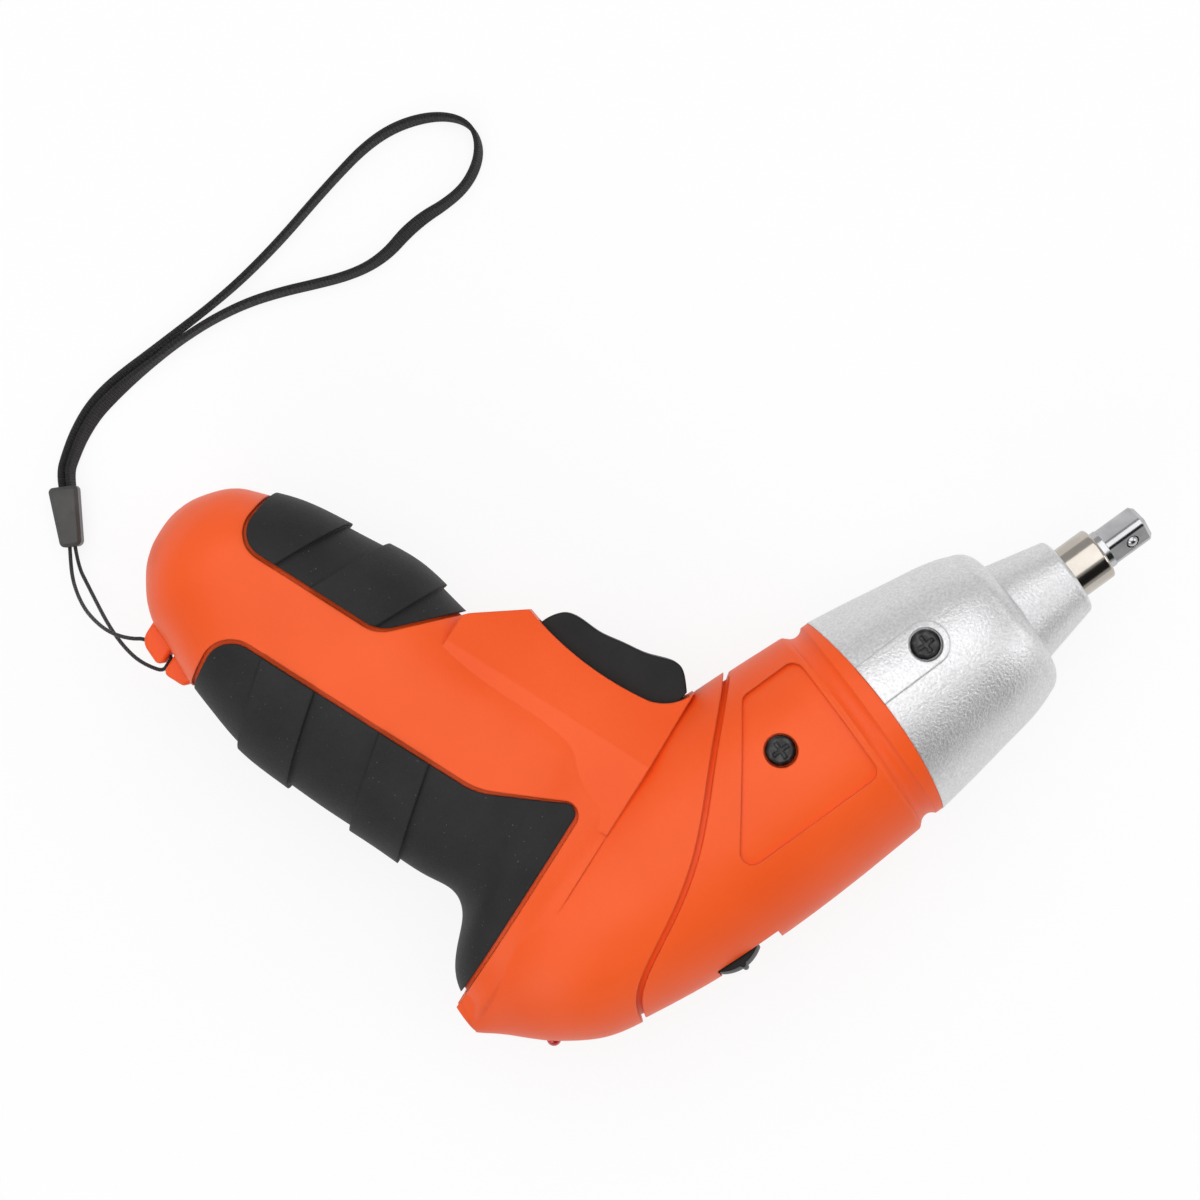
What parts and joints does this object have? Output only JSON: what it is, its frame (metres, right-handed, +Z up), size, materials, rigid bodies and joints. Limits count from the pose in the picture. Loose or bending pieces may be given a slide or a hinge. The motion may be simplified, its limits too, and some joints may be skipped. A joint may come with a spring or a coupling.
{
  "type": "electric screwdriver",
  "caption": "Pistol-grip electric screwdriver with a moulded two-part housing, rubber grips, silver nose, hex chuck, square-drive socket adapter and a wrist strap",
  "frame": {"origin": "on the surface that the tool lies on, under the middle of the tool's box without the strap", "axes": "+X along the spindle towards the bit, +Y from the barrel to the foot of the handle, +Z up from the surface and out of the tool's left side"},
  "size_m": [0.1834, 0.1818, 0.0459],
  "materials": {
    "orange_plastic": "finely textured moulded plastic",
    "grip_rubber": "matte overmoulded rubber",
    "nose_paint": "silver paint with a fine grain",
    "black_screw": "black oxide",
    "black_plastic": "satin moulded plastic",
    "motor_steel": "plated steel",
    "contact_metal": "plain stamped strip",
    "gear_metal": "sintered steel",
    "bush_bronze": "oiled sintered bronze",
    "spindle_nickel": "bright nickel plate",
    "drive_steel": "polished hard steel",
    "cell_wrap": "shrink-wrapped cell",
    "board_green": "coated circuit board",
    "lamp_red": "clear red moulding",
    "strap_black": "woven cord and webbing"
  },
  "bodies": {
    "tool": {"housing_left": "orange_plastic", "housing_right": "orange_plastic", "grip_rear_left": "grip_rubber", "grip_rear_right": "grip_rubber", "grip_front_left": "grip_rubber", "grip_front_right": "grip_rubber", "nose_cone": "nose_paint", "housing_screws": "black_screw", "nose_screws": "black_screw", "trigger_switch": "black_plastic", "direction_switch": "black_plastic", "motor_can": "motor_steel", "motor_end_cap": "black_plastic", "motor_terminals": "contact_metal", "motor_magnets": "motor_steel", "motor_screws": "motor_steel", "gear_case": "gear_metal", "spindle_bush_rear": "bush_bronze", "spindle_bush_front": "bush_bronze", "thrust_washer": "drive_steel", "battery_cell_1": "cell_wrap", "battery_cell_2": "cell_wrap", "battery_cell_3": "cell_wrap", "battery_cell_4": "cell_wrap", "battery_tabs": "contact_metal", "charge_lamp": "lamp_red", "charge_socket": "black_plastic", "charge_board": "board_green", "strap_thread_a": "strap_black", "strap_thread_b": "strap_black", "strap_clip": "black_plastic", "strap_webbing": "strap_black"},
    "trigger": {"trigger": "black_plastic", "switch_plunger": "black_plastic"},
    "slider": {"direction_slider": "black_plastic"},
    "adapter": {"socket_adapter": "drive_steel"},
    "ball": {"detent_ball": "drive_steel"},
    "motor_rotor": {"motor_armature": "motor_steel", "motor_shaft": "motor_steel", "motor_pinion": "motor_steel"},
    "planet_1a": {"planet_1a": "gear_metal"},
    "planet_1b": {"planet_1b": "gear_metal"},
    "planet_1c": {"planet_1c": "gear_metal"},
    "carrier_1": {"carrier_1": "gear_metal"},
    "planet_2a": {"planet_2a": "gear_metal"},
    "planet_2b": {"planet_2b": "gear_metal"},
    "planet_2c": {"planet_2c": "gear_metal"},
    "spindle": {"chuck_spindle": "spindle_nickel", "output_carrier": "gear_metal", "chuck_magnet": "drive_steel", "retaining_ring": "drive_steel"}
  },
  "joints": [
    {"name": "trigger_pull", "type": "slide", "parent": "tool", "child": "trigger", "axis": [-0.9298, -0.3681, 0], "range_m": [0, 0.005], "stiffness_N_per_m": 300, "springref_m": -0.002},
    {"name": "direction_shift", "type": "slide", "parent": "tool", "child": "slider", "axis": [1, 0, 0], "range_m": [0, 0.0046]},
    {"name": "spindle_spin", "type": "hinge", "parent": "tool", "child": "spindle", "pos_m": [0, -0.04454, 0.02295], "axis": [1, 0, 0], "continuous": true},
    {"name": "carrier_1_spin", "type": "hinge", "parent": "tool", "child": "carrier_1", "pos_m": [0, -0.04454, 0.02295], "axis": [1, 0, 0], "continuous": true},
    {"name": "motor_spin", "type": "hinge", "parent": "tool", "child": "motor_rotor", "pos_m": [0, -0.04454, 0.02295], "axis": [1, 0, 0], "continuous": true},
    {"name": "planet_1a_spin", "type": "hinge", "parent": "carrier_1", "child": "planet_1a", "pos_m": [0, -0.03614, 0.02295], "axis": [1, 0, 0], "continuous": true},
    {"name": "planet_2a_spin", "type": "hinge", "parent": "spindle", "child": "planet_2a", "pos_m": [0, -0.03614, 0.02295], "axis": [1, 0, 0], "continuous": true},
    {"name": "planet_1b_spin", "type": "hinge", "parent": "carrier_1", "child": "planet_1b", "pos_m": [0, -0.04874, 0.03022], "axis": [1, 0, 0], "continuous": true},
    {"name": "planet_2b_spin", "type": "hinge", "parent": "spindle", "child": "planet_2b", "pos_m": [0, -0.04874, 0.03022], "axis": [1, 0, 0], "continuous": true},
    {"name": "planet_1c_spin", "type": "hinge", "parent": "carrier_1", "child": "planet_1c", "pos_m": [0, -0.04874, 0.01568], "axis": [1, 0, 0], "continuous": true},
    {"name": "planet_2c_spin", "type": "hinge", "parent": "spindle", "child": "planet_2c", "pos_m": [0, -0.04874, 0.01568], "axis": [1, 0, 0], "continuous": true},
    {"name": "adapter_pull", "type": "slide", "parent": "spindle", "child": "adapter", "axis": [1, 0, 0], "range_m": [0, 0.021]},
    {"name": "detent_press", "type": "slide", "parent": "adapter", "child": "ball", "axis": [0, 0.6428, -0.766], "range_m": [0, 0.0006], "stiffness_N_per_m": 800, "springref_m": -0.001}
  ],
  "couplings": [
    {"joint": "carrier_1_spin", "follows": "spindle_spin", "ratio": 5.3333},
    {"joint": "motor_spin", "follows": "spindle_spin", "ratio": 28.444},
    {"joint": "planet_1a_spin", "follows": "spindle_spin", "ratio": -13.867},
    {"joint": "planet_2a_spin", "follows": "spindle_spin", "ratio": -2.6},
    {"joint": "planet_1b_spin", "follows": "spindle_spin", "ratio": -13.867},
    {"joint": "planet_2b_spin", "follows": "spindle_spin", "ratio": -2.6},
    {"joint": "planet_1c_spin", "follows": "spindle_spin", "ratio": -13.867},
    {"joint": "planet_2c_spin", "follows": "spindle_spin", "ratio": -2.6}
  ]
}
